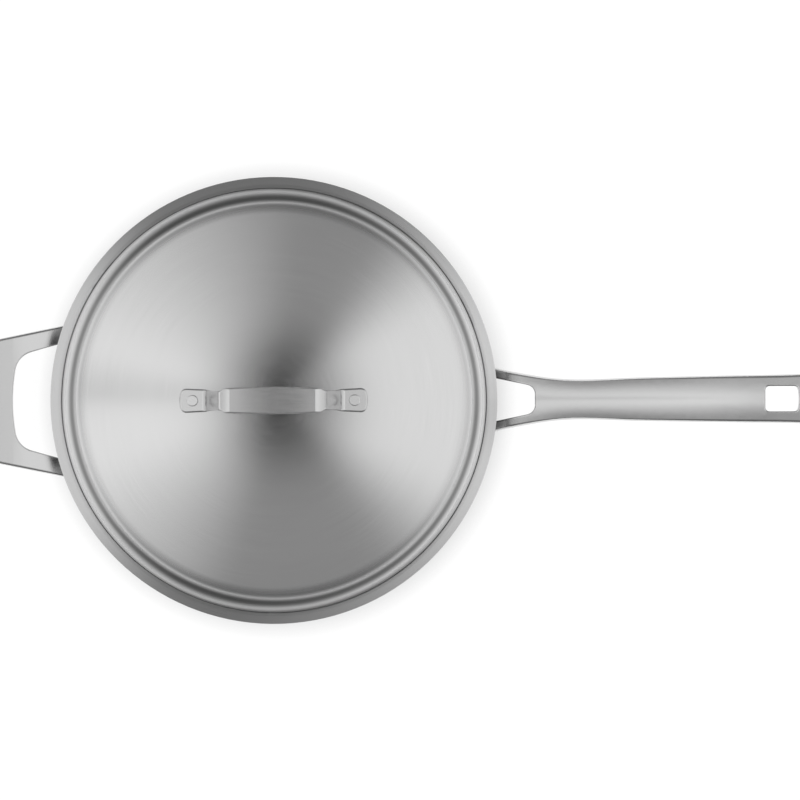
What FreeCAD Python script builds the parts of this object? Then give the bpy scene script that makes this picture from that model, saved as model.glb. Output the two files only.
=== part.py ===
import FreeCAD, Part

import math
import os

# A three-ply stainless steel saute pan with a flared pouring rim, a forked long handle with a hanging hole,
# a helper handle opposite it, and a pressed lid with a riveted strap handle.
# Millimetres. The origin is the centre of the base on the hob, +Z is up and +X runs along the long handle.

# Pan body: three bonded plies, pressed as one sheet
PAN_INNER_RADIUS = 120.0
RIM_HEIGHT = 72.0
INNER_PLY = 0.5
CORE_PLY = 1.6
OUTER_PLY = 0.5
BASE_CORNER_RADIUS = 20.0
FLARE_RADIUS = 12.0
FLARE_ANGLE = 62.0
RIM_OVERHANG = 10.6

# Lid: one pressed sheet, from the dome's rim out to the turned-down edge
LID_SHEET = 1.0
LID_OVERHANG = 4.0
LID_SEAT_CLEARANCE = 0.3
DOME_RIM_SLOPE = 8.0
SHOULDER_RADIUS = 13.0
SHOULDER_SLOPE = 30.0
SHOULDER_RUN = 0.5
VALLEY_RADIUS = 3.4
COLLAR_SLOPE = 36.0
COLLAR_RUN = 1.6
BEAD_RADIUS = 5.0
EDGE_SLOPE = 22.0

# Lid handle: a cast strap with two riveted tabs
STRAP_TAB_LENGTH = 15.2
STRAP_TAB_WIDTH = 14.4
STRAP_TAB_ROOT_WIDTH = 13.1
STRAP_TAB_THICKNESS = 2.2
STRAP_TAB_BOW = 1.8
STRAP_TAB_CORNER = 3.6
STRAP_RIVET_INSET = 7.85
STRAP_NECK_RUN = 9.6
STRAP_NECK_WIDTH = 11.2
STRAP_NECK_TAPER = 4.0
STRAP_GRIP_LENGTH = 60.4
STRAP_GRIP_END_WIDTH = 14.2
STRAP_GRIP_WIDTH = 15.9
STRAP_GRIP_CORNER = 4.0
STRAP_GRIP_THICKNESS = 5.4
STRAP_FINGER_HEIGHT = 19.5
STRAP_GRIP_ARCH = 0.8
STRAP_NECK_THICKNESS = 3.6
STRAP_BEND_RADIUS = 3.0
STRAP_SHOULDER_RADIUS = 8.5
STRAP_NOTCH_RADIUS = 3.0
STRAP_EDGE_RADIUS = 1.0

# Long handle: a casting with a forked root, a waist, a crowned palm and a hanging hole
HANDLE_REACH = 186.0
HANDLE_ROOT_DROP = 9.0
HANDLE_ROOT_SLOPE = 31.0
HANDLE_TIP_SLOPE = 9.0
HANDLE_ROOT_WIDTH = 43.8
HANDLE_ROOT_THICKNESS = 12.0
FORK_BRIDGE = 32.0
FORK_GAP_ROOT_WIDTH = 30.2
FORK_GAP_END_WIDTH = 15.2
FORK_GAP_CORNER = 5.4
PRONG_THICKNESS = 8.0
ROOT_CROWN = 2.6
WAIST_REACH = 62.0
WAIST_WIDTH = 23.2
WAIST_POWER = 2.3
WAIST_CROWN = 3.2
PALM_RUN = 53.0
PALM_THICKNESS = 12.0
PALM_HOLLOW = 2.2
TIP_WIDTH = 28.3
TIP_POWER = 0.65
TIP_THICKNESS = 8.5
TIP_HOLLOW = 0.6
TIP_CROWN = 1.7
TIP_BOW = 2.0
TIP_CORNER = 5.0
ARRIS_RADIUS = 2.4
HANG_HOLE_LENGTH = 19.2
HANG_HOLE_WIDTH = 14.4
HANG_HOLE_CORNER = 2.4
HANG_HOLE_BOW = 0.9
HANG_HOLE_END_WALL = 6.2
HANDLE_EDGE_RADIUS = 0.8

# Helper handle: a flat loop on two feet
HELPER_REACH = 45.4
HELPER_BAR_WIDTH = 14.3
HELPER_ROOT_DROP = 8.0
HELPER_ROOT_SLOPE = 19.0
HELPER_BAR_SLOPE = 8.0
HELPER_THICKNESS = 6.0
HELPER_ROOT_WIDTH = 92.8
HELPER_END_WIDTH = 72.0
HELPER_LEG_WIDTH = 9.4
HELPER_BOW = 3.2
HELPER_OUTER_CORNER = 6.0
HELPER_INNER_CORNER = 13.0
HELPER_EDGE_RADIUS = 1.6
HELPER_INNER_EDGE_RADIUS = 0.7

# Mounting plates that seat the handles on the wall, and the rivets through them
PLATE_THICKNESS = 4.2
PLATE_CORNER = 6.0
PLATE_EDGE_RADIUS = 1.4
HANDLE_PLATE_WIDTH = 47.0
HANDLE_PLATE_BASE_GAP = 1.0
HELPER_PLATE_WIDTH = 19.0
HELPER_PLATE_BASE_GAP = 5.0
PLATE_RIM_GAP = 2.0
HANDLE_RIVET_SPAN = 29.0
WALL_RIVET_SHANK_RADIUS = 3.2
WALL_RIVET_HEAD_RADIUS = 6.2
WALL_RIVET_HEAD_HEIGHT = 1.8
WALL_RIVET_TAIL_RADIUS = 4.6
WALL_RIVET_TAIL_HEIGHT = 1.0
LID_RIVET_SHANK_RADIUS = 2.1
LID_RIVET_HEAD_RADIUS = 3.3
LID_RIVET_HEAD_HEIGHT = 0.9
LID_RIVET_HEAD_EDGE_RADIUS = 0.5
LID_RIVET_TAIL_RADIUS = 4.2
LID_RIVET_TAIL_HEIGHT = 1.2
RIVET_FIT = 0.05

# Lengths that only have to reach past what they cut
PAST = 10.0
# Sections that the long handle is drawn through
HANDLE_STATIONS = 10

# Worked out from the sizes above
WALL = INNER_PLY + CORE_PLY + OUTER_PLY
OUTER_RADIUS = PAN_INNER_RADIUS + WALL
RIM_RADIUS = PAN_INNER_RADIUS + RIM_OVERHANG
FLARE_RISE = FLARE_RADIUS * math.sin(math.radians(FLARE_ANGLE))
FLARE_SPREAD = FLARE_RADIUS * (1 - math.cos(math.radians(FLARE_ANGLE)))
LIP_RISE = (RIM_OVERHANG - FLARE_SPREAD) / math.tan(math.radians(FLARE_ANGLE))
FLARE_START = RIM_HEIGHT - FLARE_RISE - LIP_RISE
PLATE_TOP = FLARE_START - PLATE_RIM_GAP
HANDLE_PLATE_BOTTOM = WALL + BASE_CORNER_RADIUS + HANDLE_PLATE_BASE_GAP
HELPER_PLATE_BOTTOM = WALL + BASE_CORNER_RADIUS + HELPER_PLATE_BASE_GAP
PLATE_OUTER_RADIUS = OUTER_RADIUS + PLATE_THICKNESS
HANDLE_RIVET_ANGLE = math.degrees(math.asin(HANDLE_RIVET_SPAN / 2 / OUTER_RADIUS))
STRAP_TAB_ROOT = STRAP_GRIP_LENGTH / 2 + STRAP_NECK_RUN
STRAP_TAB_END = STRAP_TAB_ROOT + STRAP_TAB_LENGTH
STRAP_RIVET_REACH = STRAP_TAB_END - STRAP_RIVET_INSET
FORK_GAP_REACH = WAIST_REACH - FORK_BRIDGE
PALM_REACH = WAIST_REACH + PALM_RUN
HELPER_LEG_CENTRE = (HELPER_ROOT_WIDTH - HELPER_LEG_WIDTH) / 2
HELPER_FOOT_ANGLE = math.degrees(math.asin(HELPER_LEG_CENTRE / OUTER_RADIUS))
HELPER_LEG_START = OUTER_RADIUS * math.cos(math.radians(HELPER_FOOT_ANGLE))


def vector(x, y, z):
    return FreeCAD.Vector(x, y, z)


Z_AXIS = vector(0, 0, 1)
ORIGIN = vector(0, 0, 0)


def cylinder(radius, low, high):
    return Part.makeCylinder(radius, high - low, vector(0, 0, low), Z_AXIS)


def turned(shape, degrees):
    """A copy of the shape, turned about the pan's axis."""
    copy = shape.copy()
    copy.rotate(ORIGIN, Z_AXIS, degrees)
    return copy


def edges_where(shape, test):
    return [edge for edge in shape.Edges if test(edge)]


def stands_upright(edge):
    ends = [vertex.Point for vertex in edge.Vertexes]
    return len(ends) == 2 and ends[0].sub(ends[1]).cross(Z_AXIS).Length < 1e-6


def prism(points, low, high):
    """An upright prism on a closed outline of (x, y) corners."""
    corners = [vector(x, y, low) for x, y in points]
    face = Part.Face(Part.makePolygon(corners + corners[:1]))
    return face.extrude(vector(0, 0, high - low))


def prism_of_edges(edges, height):
    return Part.Face(Part.Wire(edges)).extrude(vector(0, 0, height))


def bowed_prism(start, start_half, end, end_half, bow, low, high):
    """An upright prism along X, with straight sides and a far end that is bowed out."""
    shoulder = end - bow
    edges = [
        Part.LineSegment(vector(shoulder, end_half, low), vector(start, start_half, low)),
        Part.LineSegment(vector(start, start_half, low), vector(start, -start_half, low)),
        Part.LineSegment(vector(start, -start_half, low), vector(shoulder, -end_half, low)),
        Part.Arc(vector(shoulder, -end_half, low), vector(end, 0, low), vector(shoulder, end_half, low)),
    ]
    return prism_of_edges([edge.toShape() for edge in edges], high - low)


def far_corners_rounded(block, radius):
    """The prism with its upright edges rounded, apart from those at its near end."""
    near = block.BoundBox.XMin + 0.001
    corners = edges_where(block, lambda edge: stands_upright(edge) and edge.BoundBox.XMin > near)
    return block.makeFillet(radius, corners)


# Pressed sheet: a path of runs and turns in the XZ plane, given a thickness and spun about the axis


def path_points(start, heading, steps):
    """Each step's (start, middle, end), as a point and a heading; a run has no middle."""
    stretches = []
    at, angle = start, math.radians(heading)
    for step in steps:
        first = (at, angle)
        middle = None
        if step[0] == "run":
            at = at.add(vector(math.cos(angle), 0, math.sin(angle)).multiply(step[1]))
        else:
            radius, turn = step[1], math.radians(step[2])
            side = math.copysign(radius, turn)
            centre = at.add(vector(-math.sin(angle), 0, math.cos(angle)).multiply(side))
            places = []
            for share in (0.5, 1.0):
                bearing = angle + turn * share
                arm = vector(-math.sin(bearing), 0, math.cos(bearing)).multiply(side)
                places.append((centre.sub(arm), bearing))
            middle = places[0]
            at, angle = places[1]
        stretches.append((first, middle, (at, angle)))
    return stretches


def moved_right(place, depth):
    at, angle = place
    return at.add(vector(math.sin(angle), 0, -math.cos(angle)).multiply(depth))


def path_edges(stretches, depth):
    """The path's edges, moved to its right by depth."""
    edges = []
    for first, middle, last in stretches:
        ends = moved_right(first, depth), moved_right(last, depth)
        if middle is None:
            edges.append(Part.LineSegment(*ends).toShape())
        else:
            edges.append(Part.Arc(ends[0], moved_right(middle, depth), ends[1]).toShape())
    return edges


def sheet_section(stretches, near, far):
    """The closed section between two depths to the right of a path."""
    ends = [stretches[0][0], stretches[-1][2]]
    caps = [Part.LineSegment(moved_right(end, near), moved_right(end, far)).toShape() for end in ends]
    outline = path_edges(stretches, near) + path_edges(stretches, far) + caps
    return Part.Face(Part.Wire(Part.__sortEdges__(outline)))


def spun_sheet(stretches, near, far):
    return sheet_section(stretches, near, far).revolve(ORIGIN, Z_AXIS, 360)


def pan_path():
    """The pan's inner surface, from the middle of the floor to past the end of the lip."""
    wall_run = FLARE_START - WALL - BASE_CORNER_RADIUS
    steps = [
        ("run", PAN_INNER_RADIUS - BASE_CORNER_RADIUS),
        ("turn", BASE_CORNER_RADIUS, 90.0),
        ("run", wall_run),
        ("turn", FLARE_RADIUS, -FLARE_ANGLE),
        ("run", RIM_OVERHANG + PAST),
    ]
    return path_points(vector(0, 0, WALL), 0.0, steps)


def lid_collar_steps():
    """The lid's top surface outside its dome: shoulder, valley, collar and bead."""
    return [
        ("turn", SHOULDER_RADIUS, DOME_RIM_SLOPE - SHOULDER_SLOPE),
        ("run", SHOULDER_RUN),
        ("turn", VALLEY_RADIUS, SHOULDER_SLOPE + COLLAR_SLOPE),
        ("run", COLLAR_RUN),
        ("turn", BEAD_RADIUS, -COLLAR_SLOPE - EDGE_SLOPE),
    ]


def lid_edge():
    """The top corner of the lid's edge, its underside held off the flare by the seat's clearance."""
    slope = math.radians(EDGE_SLOPE)
    radius = PAN_INNER_RADIUS + LID_OVERHANG
    under_radius = radius - LID_SHEET * math.sin(slope)
    across = PAN_INNER_RADIUS + FLARE_RADIUS - under_radius
    under_height = FLARE_START + math.sqrt((FLARE_RADIUS + LID_SEAT_CLEARANCE) ** 2 - across**2)
    return vector(radius, 0, under_height + LID_SHEET * math.cos(slope))


def dome_rim():
    """Where the dome's top surface meets the shoulder."""
    collar = path_points(ORIGIN, -DOME_RIM_SLOPE, lid_collar_steps())
    return lid_edge().sub(collar[-1][2][0])


DOME_RIM = dome_rim()
DOME_RADIUS = DOME_RIM.x / math.sin(math.radians(DOME_RIM_SLOPE))
DOME_TOP = DOME_RIM.z + DOME_RADIUS * (1 - math.cos(math.radians(DOME_RIM_SLOPE)))
DOME_CENTRE = vector(0, 0, DOME_TOP - DOME_RADIUS)
LID_RIVET_LEAN = math.degrees(math.asin(STRAP_RIVET_REACH / DOME_RADIUS))


def dome_ball(depth):
    """A ball whose surface lies depth below the dome's top surface."""
    return Part.makeSphere(DOME_RADIUS - depth, DOME_CENTRE)


def leaned_out(shape, side):
    """A copy of a shape on top of the dome, swung over the dome to the rivet's place on one side."""
    copy = shape.copy()
    copy.rotate(DOME_CENTRE, vector(0, 1, 0), side * LID_RIVET_LEAN)
    return copy


def tab_height(x):
    """The height of a tab's top face, which lies square to its rivet, at a distance from the axis."""
    lean = math.radians(LID_RIVET_LEAN)
    reach = DOME_RADIUS + STRAP_TAB_THICKNESS
    return DOME_CENTRE.z + (reach - x * math.sin(lean)) / math.cos(lean)


# Rivets: a shank with a low head at each end


def rivet_button(radius, height, base, sink):
    """A low domed head on a disc that reaches sink below its base."""
    dome = (radius**2 + (height / 2) ** 2) / height
    disc = cylinder(radius, base - sink, base + height)
    return disc.common(Part.makeSphere(dome, vector(0, 0, base + height - dome)))


def rivet_disc(radius, height, base, edge_radius):
    """A flat head whose rim is rounded."""
    disc = cylinder(radius, base, base + height)
    rim = edges_where(disc, lambda edge: abs(edge.BoundBox.ZMin - base - height) < 0.001)
    return disc.makeFillet(edge_radius, rim)


def laid_outwards(shape):
    """Turns a shape that stands along +Z so that it points along +X."""
    copy = shape.copy()
    copy.rotate(ORIGIN, vector(0, 1, 0), 90)
    return copy


def placed_on_wall(shape, angle, height):
    """Moves a shape from the X axis to a height on the wall, at an angle round the pan."""
    copy = shape.copy()
    copy.translate(vector(0, 0, height))
    return turned(copy, angle)


def wall_rivet(angle, height):
    """A rivet from the inside of the wall out through a handle's mounting plate."""
    around = 2 * WALL_RIVET_HEAD_RADIUS
    inside = cylinder(PAN_INNER_RADIUS, -around, around)
    outside = cylinder(PLATE_OUTER_RADIUS, -around, around)
    head = rivet_button(WALL_RIVET_HEAD_RADIUS, WALL_RIVET_HEAD_HEIGHT, 0, WALL_RIVET_HEAD_RADIUS)
    head.rotate(ORIGIN, vector(0, 1, 0), -90)
    head.translate(vector(PAN_INNER_RADIUS, 0, 0))
    tail = laid_outwards(
        rivet_button(WALL_RIVET_TAIL_RADIUS, WALL_RIVET_TAIL_HEIGHT, 0, WALL_RIVET_TAIL_RADIUS)
    )
    tail.translate(vector(PLATE_OUTER_RADIUS, 0, 0))
    shank = laid_outwards(
        cylinder(WALL_RIVET_SHANK_RADIUS, PAN_INNER_RADIUS - WALL_RIVET_HEAD_HEIGHT / 2, PLATE_OUTER_RADIUS)
    )
    whole = head.common(inside).fuse([shank, tail.cut(outside)]).removeSplitter()
    return placed_on_wall(whole, angle, height)


def wall_rivet_hole(angle, height):
    hole = cylinder(WALL_RIVET_SHANK_RADIUS + RIVET_FIT, PAN_INNER_RADIUS - PAST, PLATE_OUTER_RADIUS + PAST)
    return placed_on_wall(laid_outwards(hole), angle, height)


def rivet_height(plate_bottom, root_drop, root_slope, root_thickness):
    """The middle of a plate's bare face, between its bottom edge and the underside of the handle's root."""
    slope = math.radians(root_slope)
    root = FLARE_START - root_drop + PLATE_THICKNESS * math.tan(slope)
    underside = root - root_thickness / 2 / math.cos(slope)
    return (plate_bottom + underside) / 2


def handle_rivet_places():
    height = rivet_height(HANDLE_PLATE_BOTTOM, HANDLE_ROOT_DROP, HANDLE_ROOT_SLOPE, HANDLE_ROOT_THICKNESS)
    return [(side * HANDLE_RIVET_ANGLE, height) for side in (1, -1)]


def helper_rivet_places():
    height = rivet_height(HELPER_PLATE_BOTTOM, HELPER_ROOT_DROP, HELPER_ROOT_SLOPE, HELPER_THICKNESS)
    return [(180 - side * HELPER_FOOT_ANGLE, height) for side in (1, -1)]


def wall_holes():
    return [wall_rivet_hole(*place) for place in handle_rivet_places() + helper_rivet_places()]


def lies_on_plate_face(edge):
    middle = edge.valueAt((edge.FirstParameter + edge.LastParameter) / 2)
    return abs(math.hypot(middle.x, middle.y) - PLATE_OUTER_RADIUS) < 0.001


def mounting_plate(width, bottom):
    """A plate on the wall at the X axis, curved to the wall, its corners and outer edge rounded."""
    block = Part.makeBox(PLATE_OUTER_RADIUS, width, PLATE_TOP - bottom, vector(PAST, -width / 2, bottom))
    corners = edges_where(block, lambda edge: edge.BoundBox.XLength > PAST)
    ring = cylinder(PLATE_OUTER_RADIUS, 0, RIM_HEIGHT).cut(cylinder(OUTER_RADIUS, 0, RIM_HEIGHT))
    plate = block.makeFillet(PLATE_CORNER, corners).common(ring)
    outer_edges = edges_where(plate, lies_on_plate_face)
    return plate.makeFillet(PLATE_EDGE_RADIUS, outer_edges)


# The parts


def ply(near, far):
    """One ply of the pan, its lip trimmed upright."""
    sheet = spun_sheet(pan_path(), near, far)
    trimmed = sheet.common(cylinder(RIM_RADIUS, -PAST, RIM_HEIGHT + PAST))
    return trimmed.cut(wall_holes())


def handle_spine(reach):
    """A point of the long handle's spine and its slope, at a distance out from the wall."""
    root = math.radians(HANDLE_ROOT_SLOPE)
    tip = math.radians(HANDLE_TIP_SLOPE)
    bend = HANDLE_REACH / (math.sin(root) - math.sin(tip))
    slope = math.asin(math.sin(root) - reach / bend)
    rise = bend * (math.cos(slope) - math.cos(root))
    return vector(OUTER_RADIUS + reach, 0, FLARE_START - HANDLE_ROOT_DROP + rise), slope


def handle_section(reach, width, thickness, crown, hollow):
    """A section square to the spine: a crown across the top, flat sides and a hollow underside."""
    at, slope = handle_spine(reach)
    half = width / 2
    side = (thickness - crown) / 2

    def place(y, lift):
        return at.add(vector(-lift * math.sin(slope), y, lift * math.cos(slope)))

    edges = [
        Part.Arc(place(-half, side), place(0, side + crown), place(half, side)),
        Part.LineSegment(place(half, side), place(half, -side)),
        Part.Arc(place(half, -side), place(0, hollow - side), place(-half, -side)),
        Part.LineSegment(place(-half, -side), place(-half, side)),
    ]
    return Part.Wire([edge.toShape() for edge in edges])


def eased(stops, reach):
    """A value that eases from stop to stop, each a (reach, value)."""
    for (start, low), (end, high) in zip(stops, stops[1:]):
        if reach <= end:
            share = max(0.0, (reach - start) / (end - start))
            return low + (high - low) * (1 - math.cos(math.pi * share)) / 2
    return stops[-1][1]


def handle_width(reach):
    """The handle narrows quickly from its root to the waist, then swells slowly to the tip."""
    if reach < WAIST_REACH:
        share = (WAIST_REACH - reach) / WAIST_REACH
        return WAIST_WIDTH + (HANDLE_ROOT_WIDTH - WAIST_WIDTH) * share**WAIST_POWER
    share = (reach - WAIST_REACH) / (HANDLE_REACH - WAIST_REACH)
    return WAIST_WIDTH + (TIP_WIDTH - WAIST_WIDTH) * share**TIP_POWER


def handle_blank():
    """The long handle without its openings, from inside the wall to past the tip."""
    thicknesses = [
        (0, HANDLE_ROOT_THICKNESS),
        (FORK_GAP_REACH, PRONG_THICKNESS),
        (PALM_REACH, PALM_THICKNESS),
        (HANDLE_REACH, TIP_THICKNESS),
    ]
    crowns = [(0, ROOT_CROWN), (WAIST_REACH, WAIST_CROWN), (HANDLE_REACH, TIP_CROWN)]
    hollows = [(0, TIP_HOLLOW), (PALM_REACH, PALM_HOLLOW), (HANDLE_REACH, TIP_HOLLOW)]
    first = -PLATE_THICKNESS
    last = HANDLE_REACH + PAST
    sections = []
    for index in range(HANDLE_STATIONS):
        reach = first + (last - first) * index / (HANDLE_STATIONS - 1)
        heights = [eased(stops, reach) for stops in (thicknesses, crowns, hollows)]
        sections.append(handle_section(reach, handle_width(reach), *heights))
    return Part.makeLoft(sections, True, False)


def fork_gap(low, high):
    """The opening between the prongs, with a rounded throat."""
    root = FORK_GAP_ROOT_WIDTH / 2
    throat = FORK_GAP_END_WIDTH / 2
    start = OUTER_RADIUS - PLATE_THICKNESS
    end = OUTER_RADIUS + FORK_GAP_REACH
    block = prism([(start, -root), (end, -throat), (end, throat), (start, root)], low, high)
    return far_corners_rounded(block, FORK_GAP_CORNER)


def hang_hole(low, high):
    """The hanging hole: a rounded rectangle whose outer end is bowed."""
    end = OUTER_RADIUS + HANDLE_REACH - HANG_HOLE_END_WALL
    start = end - HANG_HOLE_LENGTH
    half = HANG_HOLE_WIDTH / 2
    block = bowed_prism(start, half, end, half, HANG_HOLE_BOW, low, high)
    return block.makeFillet(HANG_HOLE_CORNER, edges_where(block, stands_upright))


def tip_offcut(low, high):
    """What is trimmed from the blank past its bowed tip."""
    end = OUTER_RADIUS + HANDLE_REACH
    bow = ((TIP_WIDTH / 2) ** 2 + TIP_BOW**2) / (2 * TIP_BOW)
    kept = turned(cylinder(bow, low, high), 180).translated(vector(end - bow, 0, 0))
    block = Part.makeBox(2 * TIP_WIDTH, 2 * TIP_WIDTH, high - low, vector(end - PAST, -TIP_WIDTH, low))
    return block.cut(kept)


def is_steep(edge):
    box = edge.BoundBox
    return box.ZLength > 2 * max(box.XLength, box.YLength)


def long_handle():
    low = 0
    high = RIM_HEIGHT + HANDLE_REACH
    blank = handle_blank().cut(tip_offcut(low, high))
    blank = blank.makeFillet(TIP_CORNER, edges_where(blank, is_steep))
    arrises = edges_where(blank, lambda edge: not is_steep(edge) and edge.BoundBox.XMax > OUTER_RADIUS)
    rounded = blank.makeFillet(ARRIS_RADIUS, arrises)
    pierced = rounded.cut([fork_gap(low, high), hang_hole(low, high)])
    openings = [fork_gap(low, high).BoundBox, hang_hole(low, high).BoundBox]
    mouths = edges_where(
        pierced,
        lambda edge: not stands_upright(edge)
        and edge.BoundBox.XMax > OUTER_RADIUS
        and any(box.isInside(edge.BoundBox) for box in openings),
    )
    softened = pierced.makeFillet(HANDLE_EDGE_RADIUS, mouths)
    plate = mounting_plate(HANDLE_PLATE_WIDTH, HANDLE_PLATE_BOTTOM)
    seated = softened.fuse(plate).cut(cylinder(OUTER_RADIUS, 0, RIM_HEIGHT))
    holes = [wall_rivet_hole(*place) for place in handle_rivet_places()]
    return seated.cut(holes)


def helper_band():
    """The helper handle's thickness, as a bent band seen from the side and drawn out sideways."""
    root = math.radians(HELPER_ROOT_SLOPE)
    bar = math.radians(HELPER_BAR_SLOPE)
    back = OUTER_RADIUS - HELPER_LEG_START + 2 * PAST
    bend = (HELPER_REACH - HELPER_BAR_WIDTH) / (math.sin(root) - math.sin(bar))
    height = FLARE_START - HELPER_ROOT_DROP - back * math.tan(root)
    steps = [
        ("run", back / math.cos(root)),
        ("turn", bend, HELPER_BAR_SLOPE - HELPER_ROOT_SLOPE),
        ("run", HELPER_BAR_WIDTH + PAST),
    ]
    path = path_points(vector(OUTER_RADIUS - back, 0, height), HELPER_ROOT_SLOPE, steps)
    side = sheet_section(path, -HELPER_THICKNESS / 2, HELPER_THICKNESS / 2)
    side.translate(vector(0, -HELPER_ROOT_WIDTH, 0))
    return side.extrude(vector(0, 2 * HELPER_ROOT_WIDTH, 0))


def loop_prism(root_half, end_half, end, corner, high):
    """An upright prism that narrows from the wall to a bowed end with rounded corners."""
    taper = (root_half - end_half) / (end - HELPER_BOW - HELPER_LEG_START)
    back = HELPER_LEG_START - PAST
    block = bowed_prism(back, root_half + taper * PAST, end, end_half, HELPER_BOW, 0, high)
    return far_corners_rounded(block, corner)


def helper_handle():
    high = RIM_HEIGHT + HELPER_REACH
    end = OUTER_RADIUS + HELPER_REACH
    outer = loop_prism(HELPER_ROOT_WIDTH / 2, HELPER_END_WIDTH / 2, end, HELPER_OUTER_CORNER, high)
    inner = loop_prism(
        HELPER_ROOT_WIDTH / 2 - HELPER_LEG_WIDTH,
        HELPER_END_WIDTH / 2 - HELPER_LEG_WIDTH,
        end - HELPER_BAR_WIDTH,
        HELPER_INNER_CORNER,
        high,
    )
    blank = outer.common(helper_band())
    blank = blank.makeFillet(HELPER_EDGE_RADIUS, edges_where(blank, lambda edge: not stands_upright(edge)))
    loop = blank.cut(inner)
    mouths = edges_where(
        loop, lambda edge: not stands_upright(edge) and inner.BoundBox.isInside(edge.BoundBox)
    )
    rounded = loop.makeFillet(HELPER_INNER_EDGE_RADIUS, mouths)
    plate = mounting_plate(HELPER_PLATE_WIDTH, HELPER_PLATE_BOTTOM)
    feet = [turned(plate, side * HELPER_FOOT_ANGLE) for side in (1, -1)]
    seated = rounded.fuse(feet).cut(cylinder(OUTER_RADIUS, 0, RIM_HEIGHT))
    holes = [wall_rivet_hole(*place) for place in helper_rivet_places()]
    return turned(seated, 180).cut(holes)


def lid_rivet_holes():
    hole = cylinder(LID_RIVET_SHANK_RADIUS + RIVET_FIT, DOME_TOP - PAST, DOME_TOP + PAST)
    return [leaned_out(hole, side) for side in (1, -1)]


def lid_shell():
    steps = [("turn", DOME_RADIUS, -DOME_RIM_SLOPE)] + lid_collar_steps()
    path = path_points(vector(0, 0, DOME_TOP), 0.0, steps)
    return spun_sheet(path, 0, LID_SHEET).cut(lid_rivet_holes())


def strap_lines(points):
    corners = [vector(x, 0, z) for x, z in points]
    return [Part.LineSegment(first, last).toShape() for first, last in zip(corners, corners[1:])]


def strap_arch(half, height):
    """An arch across the strap's middle, between two points at one height."""
    crest = vector(0, 0, height + STRAP_GRIP_ARCH)
    return Part.Arc(vector(half, 0, height), crest, vector(-half, 0, height)).toShape()


def bends_at(shape, x, z):
    """The edges across the strap at one place on each side."""
    return edges_where(
        shape,
        lambda edge: abs(abs(edge.BoundBox.Center.x) - x) < 0.001
        and abs(edge.BoundBox.Center.z - z) < 0.001
        and edge.BoundBox.YLength > STRAP_TAB_WIDTH,
    )


def strap_side():
    """The strap seen from the side and drawn out sideways: two tabs, two necks and the arched grip."""
    tab_end = STRAP_TAB_END
    neck = STRAP_TAB_ROOT
    neck_height = tab_height(neck)
    grip = STRAP_GRIP_LENGTH / 2
    low = DOME_TOP - PAST
    under = DOME_TOP + STRAP_FINGER_HEIGHT
    top = under + STRAP_GRIP_THICKNESS
    lean = (neck - grip) / (top - neck_height)
    inner_low = neck + lean * (neck_height - low) - STRAP_NECK_THICKNESS
    inner_top = neck - lean * (under - neck_height) - STRAP_NECK_THICKNESS
    leg = [
        (inner_top, under),
        (inner_low, low),
        (tab_end, low),
        (tab_end, tab_height(tab_end)),
        (neck, neck_height),
        (grip, top),
    ]
    edges = [strap_arch(grip, top), strap_arch(inner_top, under)]
    for side in (1, -1):
        edges += strap_lines([(side * x, z) for x, z in leg])
    face = Part.Face(Part.Wire(Part.__sortEdges__(edges)))
    face.translate(vector(0, -STRAP_TAB_WIDTH, 0))
    block = face.extrude(vector(0, 2 * STRAP_TAB_WIDTH, 0))
    block = block.makeFillet(STRAP_BEND_RADIUS, bends_at(block, neck, neck_height))
    block = block.makeFillet(STRAP_BEND_RADIUS, bends_at(block, inner_top, under))
    return block.makeFillet(STRAP_SHOULDER_RADIUS, bends_at(block, grip, top))


def strap_barrel(low, height):
    """The grip seen from above and drawn upwards: it swells to its middle and has rounded ends."""
    grip = STRAP_GRIP_LENGTH / 2
    end_half = STRAP_GRIP_END_WIDTH / 2
    edges = []
    for side in (1, -1):
        first = vector(side * grip, side * end_half, low)
        crest = vector(0, side * STRAP_GRIP_WIDTH / 2, low)
        last = vector(-side * grip, side * end_half, low)
        edges.append(Part.Arc(first, crest, last).toShape())
        edges.append(Part.LineSegment(last, vector(-side * grip, -side * end_half, low)).toShape())
    barrel = prism_of_edges(edges, height)
    return barrel.makeFillet(STRAP_GRIP_CORNER, edges_where(barrel, stands_upright))


def strap_leg(low, high):
    """A tab and its neck seen from above and drawn upwards: the tab tapers, then narrows into the neck."""
    root = STRAP_TAB_ROOT
    neck = root - STRAP_NECK_TAPER
    root_half = STRAP_TAB_ROOT_WIDTH / 2
    neck_half = STRAP_NECK_WIDTH / 2
    tab = bowed_prism(root, root_half, STRAP_TAB_END, STRAP_TAB_WIDTH / 2, STRAP_TAB_BOW, low, high)
    tab = far_corners_rounded(tab, STRAP_TAB_CORNER)
    taper = [(root, root_half), (root, -root_half), (neck, -neck_half), (neck, neck_half)]
    bar = Part.makeBox(neck, STRAP_NECK_WIDTH, high - low, vector(0, -neck_half, low))
    return tab.fuse([prism(taper, low, high), bar])


def is_strap_bend(edge):
    """Whether the strap's outline turns at an edge, between its tab and its grip."""
    middle = edge.BoundBox.Center
    at_tab = abs(abs(middle.x) - STRAP_TAB_ROOT) < 0.001
    at_neck = abs(abs(middle.y) - STRAP_NECK_WIDTH / 2) < 0.001
    return stands_upright(edge) and (at_tab or at_neck)


def strap_plan():
    """The strap seen from above and drawn upwards: rounded tabs, narrow necks and a barrelled grip."""
    low = DOME_TOP - PAST
    height = STRAP_FINGER_HEIGHT + STRAP_GRIP_THICKNESS + STRAP_GRIP_ARCH + 2 * PAST
    leg = strap_leg(low, low + height)
    plan = strap_barrel(low, height).fuse([leg, turned(leg, 180)]).removeSplitter()
    return plan.makeFillet(STRAP_NOTCH_RADIUS, edges_where(plan, is_strap_bend))


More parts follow.
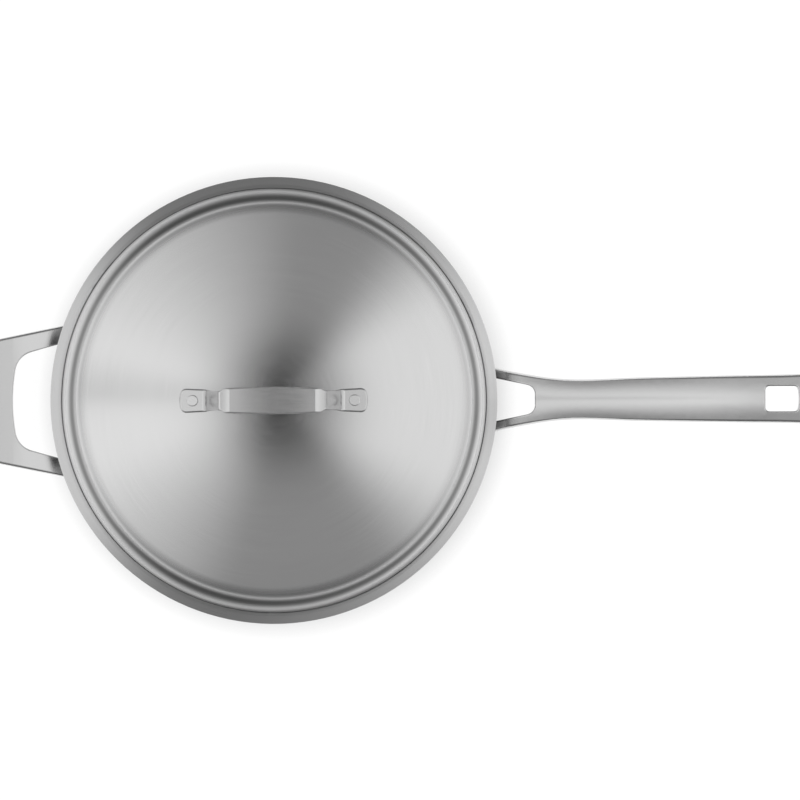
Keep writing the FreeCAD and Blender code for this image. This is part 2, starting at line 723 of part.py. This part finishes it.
def lies_on_top(edge, shape):
    """Whether the material lies below and inwards of the middle of an edge."""
    middle = edge.valueAt((edge.FirstParameter + edge.LastParameter) / 2)
    step = STRAP_EDGE_RADIUS / 4
    inwards = vector(-math.copysign(step, middle.x), -math.copysign(step, middle.y), -step)
    return not stands_upright(edge) and shape.isInside(middle.add(inwards), 1e-6, False)


def lid_handle():
    strap = strap_side().common(strap_plan())
    top_edges = edges_where(strap, lambda edge: lies_on_top(edge, strap))
    rounded = strap.makeFillet(STRAP_EDGE_RADIUS, top_edges)
    return rounded.cut(dome_ball(0)).cut(lid_rivet_holes())


def lid_rivet(side):
    """A rivet from the underside of the lid up through the strap's tab on one side."""
    top = DOME_TOP + STRAP_TAB_THICKNESS
    under = DOME_TOP - LID_SHEET
    head = rivet_disc(LID_RIVET_HEAD_RADIUS, LID_RIVET_HEAD_HEIGHT, top, LID_RIVET_HEAD_EDGE_RADIUS)
    tail = rivet_button(LID_RIVET_TAIL_RADIUS, LID_RIVET_TAIL_HEIGHT, 0, LID_RIVET_TAIL_RADIUS)
    tail.rotate(ORIGIN, vector(0, 1, 0), 180)
    tail.translate(vector(0, 0, under))
    tail = tail.common(dome_ball(LID_SHEET))
    shank = cylinder(LID_RIVET_SHANK_RADIUS, under - LID_RIVET_TAIL_HEIGHT / 2, top)
    return leaned_out(head.fuse([shank, tail]).removeSplitter(), side)


def main():
    parts = {
        "pan_inner_ply": ply(0, INNER_PLY),
        "pan_core_ply": ply(INNER_PLY, INNER_PLY + CORE_PLY),
        "pan_outer_ply": ply(INNER_PLY + CORE_PLY, WALL),
        "long_handle": long_handle(),
        "helper_handle": helper_handle(),
        "lid_shell": lid_shell(),
        "lid_handle": lid_handle(),
    }
    for index, place in enumerate(handle_rivet_places(), start=1):
        parts[f"long_handle_rivet_{index}"] = wall_rivet(*place)
    for index, place in enumerate(helper_rivet_places(), start=1):
        parts[f"helper_rivet_{index}"] = wall_rivet(*place)
    for index, side in enumerate((1, -1), start=1):
        parts[f"lid_rivet_{index}"] = lid_rivet(side)
    os.makedirs("parts", exist_ok=True)
    for name, shape in parts.items():
        shape.exportStep(f"parts/{name}.step")


main()
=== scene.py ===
import math
from collections import namedtuple

import bmesh
import bpy
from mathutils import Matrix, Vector


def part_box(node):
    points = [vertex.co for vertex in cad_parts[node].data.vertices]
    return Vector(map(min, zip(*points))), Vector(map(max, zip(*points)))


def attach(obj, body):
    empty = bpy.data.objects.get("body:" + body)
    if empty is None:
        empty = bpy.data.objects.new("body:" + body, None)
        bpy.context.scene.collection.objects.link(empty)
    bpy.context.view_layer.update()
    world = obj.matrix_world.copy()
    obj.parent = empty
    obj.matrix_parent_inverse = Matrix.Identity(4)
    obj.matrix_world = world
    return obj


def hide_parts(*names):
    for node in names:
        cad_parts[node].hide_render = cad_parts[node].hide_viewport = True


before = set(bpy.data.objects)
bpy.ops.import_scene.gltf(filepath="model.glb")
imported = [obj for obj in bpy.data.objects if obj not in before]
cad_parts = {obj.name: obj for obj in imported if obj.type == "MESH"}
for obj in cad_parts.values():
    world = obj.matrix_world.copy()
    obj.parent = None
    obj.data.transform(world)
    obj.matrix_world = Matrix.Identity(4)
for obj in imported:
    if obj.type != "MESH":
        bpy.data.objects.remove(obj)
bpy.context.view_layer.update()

# Camera: straight above the pan, at a long lens, as in the photograph
CAMERA_PLACE = (0.0737, 0.0, 2.5)
CAMERA_ROLL = math.radians(-0.2)
CAMERA_LENS = 187.0
CAMERA_SENSOR = 36.0

# Studio: a white room, a white floor and a tent that only reflections see
FLOOR_SIZE = 60.0
# Off the pan, so that the seam between the floor's two triangles stays out of sight
FLOOR_PLACE = (9.0, 0.0, 0.0)
FLOOR_WHITE = 0.25
FLOOR_GLOW = 0.82
FLOOR_SHADE_REACH = 0.027
TENT_RADIUS = 4.0
TENT_SEGMENTS = 64
TENT_RINGS = 32
TENT_PLACE = (-0.048, 0.0, 0.0)
TENT_LIGHT = 1.13
# How quickly the tent's light falls with the angle from straight above
TENT_FALL = 0.33
# Light of the two panels and of the dark front and back, as shares of the tent's light
RIGHT_PANEL_LIGHT = 0.93
LEFT_PANEL_LIGHT = 1.0
TENT_DARK = 0.31
# Bearings, turned from the long handle towards the back, between which each panel fades
RIGHT_PANEL_BACK = (0.5, 1.1)
RIGHT_PANEL_FRONT = (-0.4, -1.08)
LEFT_PANEL_BACK = (2.85, 1.5)
LEFT_PANEL_FRONT = (-2.82, -1.85)
# The left panel's seam: the bearings between which its light falls from the back, and the share that is left
LEFT_SEAM = (2.9, math.pi)
LEFT_SEAM_LIGHT = 0.64
# The dark spot straight above: the angle that it reaches, and how steeply it clears
ZENITH_SPOT = 0.14
ZENITH_POWER = 2.2
# How far to the front or back the light fades, from 0 straight above to 1 at the horizon, and the share left
DEPTH_FADE = (0.35, 0.85)
DEPTH_DARK = 0.6

# Lid: its sheet, the dome's slope at its rim in degrees, and the path from there to the lid's edge.
# A step of the path is a turn's radius and the degrees that it turns up or down, or a straight run's length.
LID_SHEET = 0.001
DOME_RIM_SLOPE = 8.0
LID_COLLAR = ((0.013, -22.0), (0.0005, 0.0), (0.0034, 66.0), (0.0016, 0.0), (0.005, -52.0))
HALF_TURN = 180.0
# Steps round the axis, and the chords of a turn: by angle, or more by length up to a number
SPIN_STEPS = 240
CHORD_DEGREES = 8.0
CHORD_LENGTH = 0.0005
MOST_CHORDS = 24
# A smaller radius than this lies on the axis
AXIS_RADIUS = 1e-6

# Tones of the metals, the same for red, green and blue
BRUSHED_TONE = 0.72
OUTER_TONE = 0.65
CAST_TONE = 0.7
RIVET_TONE = 0.74
CORE_TONE = 0.8

# Roughness of the sheets, in the middle and on the pressed rim, and of the other metals
LID_ROUGHNESS = (0.14, 0.28)
COOKING_ROUGHNESS = (0.2, 0.28)
OUTER_ROUGHNESS = (0.18, 0.22)
CAST_ROUGHNESS = 0.2
CORE_ROUGHNESS = 0.45
# The radii between which brushed sheet turns into a pressed rim
PRESSED_FROM = (0.108, 0.114)

# Painted highlights and shade in rings of the lid's edge, lighter or darker than its dome: radius, reach to
# both sides, share of tone
LID_LINE_HIGHLIGHT = (0.1160, 0.0008, 1.18)
LID_GROOVE_SHADE = (0.1185, 0.0028, 0.46)
LID_CREST_HIGHLIGHT = (0.1220, 0.0013, 1.3)
LID_BEAD_SIDE_SHADE = (0.1235, 0.0009, 0.8)
LID_PAINTED_RINGS = (LID_LINE_HIGHLIGHT, LID_GROOVE_SHADE, LID_CREST_HIGHLIGHT, LID_BEAD_SIDE_SHADE)

# Painted shade on a cast handle near a wall: how near to the wall it reaches, and how steeply it darkens
ROOT_SHADE_REACH = 0.0145
ROOT_SHADE_POWER = 2.2
ROOT_SHADE_SAMPLES = 8

# Detail of the noises that grain and clouds are made of
FINE_DETAIL = 3.0
BROAD_DETAIL = 2.0

# Finishes: how far highlights stretch across the brushing, clouds per metre, how far wear reaches from edges,
# the most that tone and roughness change, and the depth of the grain
Finish = namedtuple("Finish", "stretch clouds cloud_detail wear_reach tone_change roughness_change depth")
BRUSHED = Finish(
    stretch=0.65, clouds=17.0, cloud_detail=FINE_DETAIL, wear_reach=0.0006,
    tone_change=0.02, roughness_change=0.015, depth=0.00003,
)
CAST = Finish(
    stretch=0.0, clouds=26.0, cloud_detail=FINE_DETAIL, wear_reach=0.0009,
    tone_change=0.02, roughness_change=0.02, depth=0.00003,
)
CORE = Finish(
    stretch=0.3, clouds=40.0, cloud_detail=BROAD_DETAIL, wear_reach=0.0003,
    tone_change=0.04, roughness_change=0.04, depth=0.00002,
)
# A quarter turn, which lays the stretch across the brushing
STRETCH_TURN = 0.25
BUMP_STRENGTH = 0.08

# Grain in rings: how often it changes round the axis, and per metre outwards
FINE_RINGS = (3.0, 2600.0)
BROAD_RINGS = (1.6, 330.0)
CORE_RINGS = (4.0, 5200.0)
FINE_SHARE = 0.7
# A rise on a wall counts as this share of a step outwards, so that the rings climb it
RISE_SHARE = 0.83
# Grain of cast steel per metre: lines along the handles, and grit among them
CAST_LINES = (60.0, 2400.0, 2400.0)
CAST_GRIT = 2200.0
LINE_SHARE = 0.6

# The parts of a noise's range that change the tone, the roughness and the smudges
TONE_RANGE = (0.3, 0.7)
ROUGH_RANGE = (0.25, 0.75)
SMUDGE_RANGE = (0.4, 0.7)
# Wear on edges: how much lighter and smoother it is, and the cosines of the turn between which it grows
WEAR_LIGHT = 0.06
WEAR_POLISH = 0.08
WEAR_TURN = (0.995, 0.86)
WEAR_SAMPLES = 6


def node(tree, kind, inputs=None, **settings):
    """A new node; each input is a plain value, or another node's output to link to it."""
    made = tree.nodes.new(kind)
    for name, value in settings.items():
        setattr(made, name, value)
    for key, value in (inputs or {}).items():
        if isinstance(value, bpy.types.NodeSocket):
            tree.links.new(value, made.inputs[key])
        else:
            made.inputs[key].default_value = value
    return made


def maths(tree, operation, first, second=0.0):
    return node(tree, "ShaderNodeMath", {0: first, 1: second}, operation=operation).outputs[0]


def vector_maths(tree, operation, first, second=(0.0, 0.0, 0.0)):
    made = node(tree, "ShaderNodeVectorMath", {0: first, 1: second}, operation=operation)
    return made.outputs["Value"] if operation in ("LENGTH", "DOT_PRODUCT") else made.outputs["Vector"]


def spread(tree, value, low, high, to_low, to_high, smooth=False):
    """A value mapped from one range to another and held at its ends."""
    made = node(
        tree,
        "ShaderNodeMapRange",
        {"Value": value, "From Min": low, "From Max": high, "To Min": to_low, "To Max": to_high},
        interpolation_type="SMOOTHSTEP" if smooth else "LINEAR",
    )
    return made.outputs["Result"]


def mixed(tree, first, second, share):
    """A share of the first value and the rest of the second."""
    part = maths(tree, "MULTIPLY", first, share)
    rest = maths(tree, "MULTIPLY", second, 1.0 - share)
    return maths(tree, "ADD", part, rest)


def noise(tree, place, scale=1.0, detail=FINE_DETAIL):
    made = node(tree, "ShaderNodeTexNoise", {"Vector": place, "Scale": scale, "Detail": detail})
    return made.outputs["Fac"]


def object_place(tree):
    return node(tree, "ShaderNodeTexCoord").outputs["Object"]


def flat_place(tree):
    """The place on the object without its height."""
    return vector_maths(tree, "MULTIPLY", object_place(tree), (1.0, 1.0, 0.0))


def ring_radius(tree):
    return vector_maths(tree, "LENGTH", flat_place(tree))


def ring_place(tree, around, outwards):
    """Coordinates for a grain that runs in rings about the pan's axis, with no seam."""
    bearing = vector_maths(tree, "NORMALIZE", flat_place(tree))
    turn = vector_maths(tree, "MULTIPLY", bearing, (around, around, 0.0))
    height = node(tree, "ShaderNodeSeparateXYZ", {0: object_place(tree)}).outputs["Z"]
    reach = maths(tree, "ADD", ring_radius(tree), maths(tree, "MULTIPLY", height, RISE_SHARE))
    step = node(tree, "ShaderNodeCombineXYZ", {"Z": maths(tree, "MULTIPLY", reach, outwards)})
    return vector_maths(tree, "ADD", turn, step.outputs[0])


def ring_direction(tree):
    """The way that rings about the pan's axis run."""
    return vector_maths(tree, "CROSS_PRODUCT", (0.0, 0.0, 1.0), object_place(tree))


def painted_ring_light(tree, rings):
    """One on the open lid, less on rings of painted shade, more on rings of painted highlight."""
    mask = 1.0
    for radius, reach, share in rings:
        away = maths(tree, "ABSOLUTE", maths(tree, "SUBTRACT", ring_radius(tree), radius))
        mask = maths(tree, "MULTIPLY", spread(tree, away, 0.0, reach, share, 1.0, smooth=True), mask)
    return mask


def painted_root_shade(tree):
    """One in the open, less near a wall: painted shade where the handle meets the wall."""
    sky = node(tree, "ShaderNodeAmbientOcclusion", {"Distance": ROOT_SHADE_REACH}, samples=ROOT_SHADE_SAMPLES)
    return maths(tree, "POWER", sky.outputs["AO"], ROOT_SHADE_POWER)


def wear_mask(tree, reach):
    """One on an edge or corner, falling to nothing a short way from it."""
    rounded = node(tree, "ShaderNodeBevel", {"Radius": reach}, samples=WEAR_SAMPLES).outputs["Normal"]
    plain = node(tree, "ShaderNodeNewGeometry").outputs["Normal"]
    return spread(tree, vector_maths(tree, "DOT_PRODUCT", rounded, plain), *WEAR_TURN, 0.0, 1.0)


def blank_metal(name, finish):
    material = bpy.data.materials.new(name)
    material.use_nodes = True
    shader = material.node_tree.nodes["Principled BSDF"]
    shader.inputs["Metallic"].default_value = 1.0
    shader.inputs["Anisotropic"].default_value = finish.stretch
    shader.inputs["Anisotropic Rotation"].default_value = STRETCH_TURN
    return material, material.node_tree, shader


def finish_metal(tree, shader, finish, tone, roughness, grain, painted_light=1.0):
    """Joins grain, cloudy change, edge wear and painted light and shade to the look of a metal."""
    cloud = noise(tree, object_place(tree), finish.clouds, finish.cloud_detail)
    wear = wear_mask(tree, finish.wear_reach)
    change = finish.tone_change
    streaks = spread(tree, grain, *TONE_RANGE, -change, change)
    clouds = spread(tree, cloud, *TONE_RANGE, -change / 2, change / 2)
    worn = maths(tree, "MULTIPLY", wear, WEAR_LIGHT)
    bright = maths(tree, "ADD", maths(tree, "ADD", streaks, clouds), maths(tree, "ADD", worn, tone))
    # Painted light and shade scale the tone
    grey = maths(tree, "MULTIPLY", bright, painted_light)
    colour = node(tree, "ShaderNodeCombineColor", {"Red": grey, "Green": grey, "Blue": grey})
    tree.links.new(colour.outputs[0], shader.inputs["Base Color"])
    change = finish.roughness_change
    rough = maths(tree, "ADD", spread(tree, grain, *ROUGH_RANGE, -change, change), roughness)
    smudged = maths(tree, "ADD", rough, spread(tree, cloud, *SMUDGE_RANGE, 0.0, change))
    polished = maths(tree, "SUBTRACT", smudged, maths(tree, "MULTIPLY", wear, WEAR_POLISH))
    tree.links.new(polished, shader.inputs["Roughness"])
    bump_inputs = {"Strength": BUMP_STRENGTH, "Distance": finish.depth, "Height": grain}
    bump = node(tree, "ShaderNodeBump", bump_inputs)
    tree.links.new(bump.outputs["Normal"], shader.inputs["Normal"])


def brushed_metal(name, tone, roughness, rings=()):
    """Sheet steel brushed in rings about the pan's axis, and rougher where its rim was pressed."""
    material, tree, shader = blank_metal(name, BRUSHED)
    pressed = spread(tree, ring_radius(tree), *PRESSED_FROM, *roughness, smooth=True)
    fine = noise(tree, ring_place(tree, *FINE_RINGS))
    broad = noise(tree, ring_place(tree, *BROAD_RINGS), detail=BROAD_DETAIL)
    grain = mixed(tree, fine, broad, FINE_SHARE)
    # Rings of painted highlight and shade scale the tone
    finish_metal(tree, shader, BRUSHED, tone, pressed, grain, painted_ring_light(tree, rings))
    tree.links.new(ring_direction(tree), shader.inputs["Tangent"])
    return material


def cast_metal(name, tone, root_shaded=False):
    """Cast steel with a satin finish, with lines along the handle; a root-shaded one has painted shade near
    the wall.
    """
    material, tree, shader = blank_metal(name, CAST)
    place = object_place(tree)
    lines = noise(tree, vector_maths(tree, "MULTIPLY", place, CAST_LINES))
    grit = noise(tree, place, CAST_GRIT, BROAD_DETAIL)
    grain = mixed(tree, lines, grit, LINE_SHARE)
    # Painted shade: a root-shaded handle's tone is darker near the wall
    painted_light = painted_root_shade(tree) if root_shaded else 1.0
    finish_metal(tree, shader, CAST, tone, CAST_ROUGHNESS, grain, painted_light)
    return material


def core_metal(name):
    """The aluminium core where the rim's edge is turned: fine lines round the rim."""
    material, tree, shader = blank_metal(name, CORE)
    grain = noise(tree, ring_place(tree, *CORE_RINGS))
    finish_metal(tree, shader, CORE, CORE_TONE, CORE_ROUGHNESS, grain)
    tree.links.new(ring_direction(tree), shader.inputs["Tangent"])
    return material


def dress(material, slot, *names):
    """Gives CAD nodes a material; the slot argument is not used."""
    for name in names:
        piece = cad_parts[name]
        piece.data.materials.clear()
        piece.data.materials.append(material)


def dress_all():
    dress(brushed_metal("lid_steel", BRUSHED_TONE, LID_ROUGHNESS, LID_PAINTED_RINGS), "lid_steel", "lid_shell")
    dress(brushed_metal("cooking_steel", BRUSHED_TONE, COOKING_ROUGHNESS), "cooking_steel", "pan_inner_ply")
    dress(brushed_metal("outer_steel", OUTER_TONE, OUTER_ROUGHNESS), "outer_steel", "pan_outer_ply")
    dress(core_metal("core_aluminium"), "core_aluminium", "pan_core_ply")
    pan_handles = ("long_handle", "helper_handle")
    dress(cast_metal("pan_handle_steel", CAST_TONE, root_shaded=True), "cast_steel", *pan_handles)
    dress(cast_metal("lid_handle_steel", CAST_TONE), "cast_steel", "lid_handle")
    rivets = [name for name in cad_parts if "_rivet_" in name]
    dress(cast_metal("rivet_steel", RIVET_TONE), "rivet_steel", *rivets)


def new_object(name, data):
    made = bpy.data.objects.new(name, data)
    bpy.context.scene.collection.objects.link(made)
    return made


def walked(at, heading, steps):
    """The points of a path in the plane of radius and height, and the headings at them."""
    places = [(at, heading)]
    for size, degrees in steps:
        turn = math.radians(degrees)
        by_angle = round(abs(degrees) / CHORD_DEGREES)
        by_length = round(abs(turn) * size / CHORD_LENGTH)
        pieces = max(1, by_angle, min(MOST_CHORDS, by_length))
        half = turn / pieces / 2
        chord = 2 * size * math.sin(abs(half)) if degrees else size
        for _ in range(pieces):
            heading += half
            at = at + chord * Vector((math.cos(heading), math.sin(heading)))
            heading += half
            places.append((at, heading))
    return places


def ring_of_corners(shape, radius, height):
    """The corners of a mesh round the axis, or one corner again and again on the axis itself."""
    if radius < AXIS_RADIUS:
        return [shape.verts.new((0.0, 0.0, height))] * SPIN_STEPS
    angles = [2 * math.pi * step / SPIN_STEPS for step in range(SPIN_STEPS)]
    return [shape.verts.new((radius * math.cos(turn), radius * math.sin(turn), height)) for turn in angles]


def spun(name, outline):
    """A smooth mesh of an outline of radii and heights, spun about the pan's axis."""
    shape = bmesh.new()
    rings = [ring_of_corners(shape, radius, height) for radius, height in outline]
    for first, second in zip(rings, rings[1:]):
        for step in range(SPIN_STEPS):
            after = (step + 1) % SPIN_STEPS
            corners = (first[step], second[step], second[after], first[after])
            # Next to the axis a face has three corners, since two of the four are the same
            shape.faces.new(dict.fromkeys(corners)).smooth = True
    mesh = bpy.data.meshes.new(name)
    shape.to_mesh(mesh)
    shape.free()
    return mesh


def lid_outline():
    """The lid's section from the top of its dome, round its edge and back underneath."""
    top_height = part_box("lid_shell")[1].z
    edge_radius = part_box("lid_shell")[1].x
    slope = math.radians(DOME_RIM_SLOPE)
    edge = (LID_SHEET / 2, -HALF_TURN)
    collar = walked(Vector((0.0, 0.0)), -slope, LID_COLLAR + (edge,))
    dome_radius = (edge_radius - max(at.x for at, _ in collar)) / math.sin(slope)
    top = walked(Vector((0.0, top_height)), 0.0, ((dome_radius, -DOME_RIM_SLOPE),) + LID_COLLAR)
    rounded = walked(*top[-1], (edge,))
    under = [at + LID_SHEET * Vector((math.sin(way), -math.cos(way))) for at, way in top]
    return [at for at, _ in top + rounded[1:-1]] + under[::-1]


def add_lid_sheet():
    """The lid's pressed sheet in even rings, for clean reflections."""
    sheet = new_object("lid_sheet", spun("lid_sheet", lid_outline()))
    sheet.data.materials.append(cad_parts["lid_shell"].data.materials[0])
    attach(sheet, "lid")
    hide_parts("lid_shell")


def stage_piece(name, mesh, material):
    piece = new_object(name, mesh)
    mesh.materials.append(material)
    return piece


def empty_material(name):
    material = bpy.data.materials.new(name)
    material.use_nodes = True
    material.node_tree.nodes.clear()
    return material, material.node_tree


def floor_material():
    """White, shaded close to the object: most of its light is its own for the rays that see it."""
    material, tree = empty_material("floor_white")
    paths = node(tree, "ShaderNodeLightPath").outputs
    direct = maths(tree, "ADD", paths["Is Camera Ray"], paths["Is Glossy Ray"])
    seen = maths(tree, "MINIMUM", maths(tree, "ADD", direct, paths["Is Transmission Ray"]), 1.0)
    tone = (FLOOR_WHITE, FLOOR_WHITE, FLOOR_WHITE, 1.0)
    plain = node(tree, "ShaderNodeBsdfDiffuse", {"Color": tone})
    open_sky = node(tree, "ShaderNodeAmbientOcclusion", {"Distance": FLOOR_SHADE_REACH}).outputs["AO"]
    strength = maths(tree, "MULTIPLY", maths(tree, "MULTIPLY", seen, open_sky), FLOOR_GLOW)
    glow = node(tree, "ShaderNodeEmission", {"Strength": strength})
    both = node(tree, "ShaderNodeAddShader", {0: plain.outputs[0], 1: glow.outputs[0]})
    node(tree, "ShaderNodeOutputMaterial", {"Surface": both.outputs[0]})
    return material


def panel_light(tree, bearing):
    """The light of the tent's two panels and of the dark between them, by bearing."""
    right_back = spread(tree, bearing, *RIGHT_PANEL_BACK, RIGHT_PANEL_LIGHT, TENT_DARK, smooth=True)
    right_front = spread(tree, bearing, *RIGHT_PANEL_FRONT, RIGHT_PANEL_LIGHT, TENT_DARK, smooth=True)
    left_back = spread(tree, bearing, *LEFT_PANEL_BACK, LEFT_PANEL_LIGHT, TENT_DARK)
    left_front = spread(tree, bearing, *LEFT_PANEL_FRONT, LEFT_PANEL_LIGHT, TENT_DARK)
    right = maths(tree, "MINIMUM", right_back, right_front)
    left = maths(tree, "MAXIMUM", left_back, left_front)
    panels = maths(tree, "MAXIMUM", right, left)
    return maths(tree, "MULTIPLY", panels, spread(tree, bearing, *LEFT_SEAM, 1.0, LEFT_SEAM_LIGHT))


def tent_material():
    """A tent lit from the right and the left: dark in front, behind and straight above."""
    material, tree = empty_material("tent_cloth")
    way = vector_maths(tree, "NORMALIZE", object_place(tree))
    parts = node(tree, "ShaderNodeSeparateXYZ", {0: way}).outputs
    bearing = maths(tree, "ARCTAN2", parts["Y"], parts["X"])
    lean = maths(tree, "ARCCOSINE", parts["Z"])
    depth = maths(tree, "ABSOLUTE", parts["Y"])
    top = maths(tree, "POWER", spread(tree, lean, 0.0, ZENITH_SPOT, 0.0, 1.0), ZENITH_POWER)
    deep = spread(tree, depth, *DEPTH_FADE, TENT_LIGHT, TENT_LIGHT * DEPTH_DARK, smooth=True)
    fall = maths(tree, "ADD", maths(tree, "MULTIPLY", lean, TENT_FALL), 1.0)
    sides = maths(tree, "DIVIDE", panel_light(tree, bearing), fall)
    light = maths(tree, "MULTIPLY", sides, maths(tree, "MULTIPLY", top, deep))
    glow = node(tree, "ShaderNodeEmission", {"Strength": light})
    node(tree, "ShaderNodeOutputMaterial", {"Surface": glow.outputs[0]})
    return material


def add_floor():
    mesh = bpy.data.meshes.new("floor")
    half = FLOOR_SIZE / 2
    corners = [(-half, -half, 0), (half, -half, 0), (half, half, 0), (-half, half, 0)]
    mesh.from_pydata(corners, [], [(0, 1, 2, 3)])
    floor = stage_piece("floor", mesh, floor_material())
    floor.location = FLOOR_PLACE


def add_tent():
    """The upper half of a ball, which only mirrored rays see."""
    mesh = bpy.data.meshes.new("tent")
    shape = bmesh.new()
    bmesh.ops.create_uvsphere(
        shape, u_segments=TENT_SEGMENTS, v_segments=TENT_RINGS, radius=TENT_RADIUS
    )
    bmesh.ops.bisect_plane(
        shape, geom=shape.verts[:] + shape.edges[:] + shape.faces[:],
        plane_co=(0, 0, 0), plane_no=(0, 0, -1), clear_outer=True,
    )
    shape.to_mesh(mesh)
    shape.free()
    tent = stage_piece("tent", mesh, tent_material())
    tent.location = TENT_PLACE
    for ray in ("camera", "diffuse", "transmission", "volume_scatter", "shadow"):
        setattr(tent, f"visible_{ray}", False)


def add_room():
    world = bpy.data.worlds.new("room")
    world.use_nodes = True
    background = world.node_tree.nodes["Background"]
    background.inputs["Color"].default_value = (1.0, 1.0, 1.0, 1.0)
    background.inputs["Strength"].default_value = 1.0
    bpy.context.scene.world = world


def add_camera():
    data = bpy.data.cameras.new("camera")
    data.lens = CAMERA_LENS
    data.sensor_width = CAMERA_SENSOR
    camera = new_object("camera", data)
    camera.location = CAMERA_PLACE
    camera.rotation_euler = (0.0, 0.0, CAMERA_ROLL)
    bpy.context.scene.camera = camera


bpy.context.scene.view_settings.view_transform = "Standard"
dress_all()
add_lid_sheet()
add_room()
add_floor()
add_tent()
add_camera()
